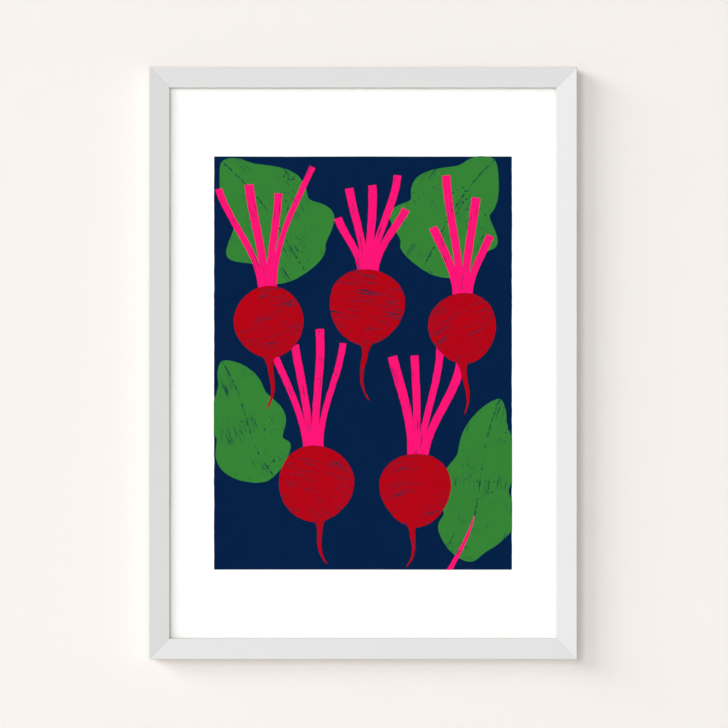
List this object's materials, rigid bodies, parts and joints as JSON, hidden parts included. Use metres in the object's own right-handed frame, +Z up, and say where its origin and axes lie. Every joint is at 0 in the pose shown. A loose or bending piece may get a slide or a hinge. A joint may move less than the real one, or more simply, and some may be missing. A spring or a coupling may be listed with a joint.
{
  "type": "framed art print",
  "caption": "Upright rectangular art print in a narrow white mitred frame, glazed, backed and hung from ring hangers on its back.",
  "frame": {"origin": "on the wall surface, midway between the two wall hooks, at the height where the rings bear on them", "axes": "+Z up the picture, +Y into the wall, so the picture faces -Y, and +X to the right as seen from the front"},
  "size_m": [0.454, 0.0248, 0.628],
  "materials": {
    "painted_wood": "satin white paint",
    "zinc_steel": "satin",
    "clear_acrylic": "gloss",
    "white_board": "matte",
    "print_paper": "matte",
    "gummed_tape": "matte",
    "foam_board": "matte",
    "hardboard": "matte",
    "bumper_rubber": "matte"
  },
  "bodies": {
    "frame": {"top_rail": "painted_wood", "bottom_rail": "painted_wood", "left_rail": "painted_wood", "right_rail": "painted_wood", "corner_wedge_top_left_inner": "zinc_steel", "corner_wedge_top_left_outer": "zinc_steel", "corner_wedge_top_right_inner": "zinc_steel", "corner_wedge_top_right_outer": "zinc_steel", "corner_wedge_bottom_left_inner": "zinc_steel", "corner_wedge_bottom_left_outer": "zinc_steel", "corner_wedge_bottom_right_inner": "zinc_steel", "corner_wedge_bottom_right_outer": "zinc_steel", "turn_screw_bottom_left": "zinc_steel", "turn_screw_bottom_right": "zinc_steel", "turn_screw_top_left": "zinc_steel", "turn_screw_top_right": "zinc_steel", "turn_screw_left_lower": "zinc_steel", "turn_screw_left_middle": "zinc_steel", "turn_screw_left_upper": "zinc_steel", "turn_screw_right_lower": "zinc_steel", "turn_screw_right_middle": "zinc_steel", "turn_screw_right_upper": "zinc_steel", "hanger_screw_left": "zinc_steel", "hanger_screw_right": "zinc_steel", "hanger_strap_left": "zinc_steel", "hanger_strap_right": "zinc_steel", "glazing_sheet": "clear_acrylic", "mount_board": "white_board", "art_print": "print_paper", "hinge_tape_left": "gummed_tape", "hinge_tape_right": "gummed_tape", "filler_board": "foam_board", "backing_board": "hardboard", "wall_bumper_left": "bumper_rubber", "wall_bumper_right": "bumper_rubber"},
    "turn_button_bottom_left": {"turn_button_bottom_left": "zinc_steel"},
    "turn_button_bottom_right": {"turn_button_bottom_right": "zinc_steel"},
    "turn_button_top_left": {"turn_button_top_left": "zinc_steel"},
    "turn_button_top_right": {"turn_button_top_right": "zinc_steel"},
    "turn_button_left_lower": {"turn_button_left_lower": "zinc_steel"},
    "turn_button_left_middle": {"turn_button_left_middle": "zinc_steel"},
    "turn_button_left_upper": {"turn_button_left_upper": "zinc_steel"},
    "turn_button_right_lower": {"turn_button_right_lower": "zinc_steel"},
    "turn_button_right_middle": {"turn_button_right_middle": "zinc_steel"},
    "turn_button_right_upper": {"turn_button_right_upper": "zinc_steel"},
    "hanger_ring_left": {"hanger_ring_left": "zinc_steel"},
    "hanger_ring_right": {"hanger_ring_right": "zinc_steel"}
  },
  "joints": [
    {"name": "turn_bottom_left", "type": "hinge", "parent": "frame", "child": "turn_button_bottom_left", "pos_m": [-0.12, -0.0037, -0.47025], "axis": [0, 1, 0], "continuous": true},
    {"name": "turn_bottom_right", "type": "hinge", "parent": "frame", "child": "turn_button_bottom_right", "pos_m": [0.12, -0.0037, -0.47025], "axis": [0, 1, 0], "continuous": true},
    {"name": "turn_top_left", "type": "hinge", "parent": "frame", "child": "turn_button_top_left", "pos_m": [-0.12, -0.0037, 0.14225], "axis": [0, 1, 0], "continuous": true},
    {"name": "turn_top_right", "type": "hinge", "parent": "frame", "child": "turn_button_top_right", "pos_m": [0.12, -0.0037, 0.14225], "axis": [0, 1, 0], "continuous": true},
    {"name": "turn_left_lower", "type": "hinge", "parent": "frame", "child": "turn_button_left_lower", "pos_m": [-0.21925, -0.0037, -0.364], "axis": [0, 1, 0], "continuous": true},
    {"name": "turn_left_middle", "type": "hinge", "parent": "frame", "child": "turn_button_left_middle", "pos_m": [-0.21925, -0.0037, -0.164], "axis": [0, 1, 0], "continuous": true},
    {"name": "turn_left_upper", "type": "hinge", "parent": "frame", "child": "turn_button_left_upper", "pos_m": [-0.21925, -0.0037, 0.036], "axis": [0, 1, 0], "continuous": true},
    {"name": "turn_right_lower", "type": "hinge", "parent": "frame", "child": "turn_button_right_lower", "pos_m": [0.21925, -0.0037, -0.364], "axis": [0, 1, 0], "continuous": true},
    {"name": "turn_right_middle", "type": "hinge", "parent": "frame", "child": "turn_button_right_middle", "pos_m": [0.21925, -0.0037, -0.164], "axis": [0, 1, 0], "continuous": true},
    {"name": "turn_right_upper", "type": "hinge", "parent": "frame", "child": "turn_button_right_upper", "pos_m": [0.21925, -0.0037, 0.036], "axis": [0, 1, 0], "continuous": true},
    {"name": "ring_left", "type": "hinge", "parent": "frame", "child": "hanger_ring_left", "pos_m": [-0.21925, -0.0022, -0.0104], "axis": [-1, 0, 0], "range_deg": [-4, 174]},
    {"name": "ring_right", "type": "hinge", "parent": "frame", "child": "hanger_ring_right", "pos_m": [0.21925, -0.0022, -0.0104], "axis": [-1, 0, 0], "range_deg": [-4, 174]}
  ]
}
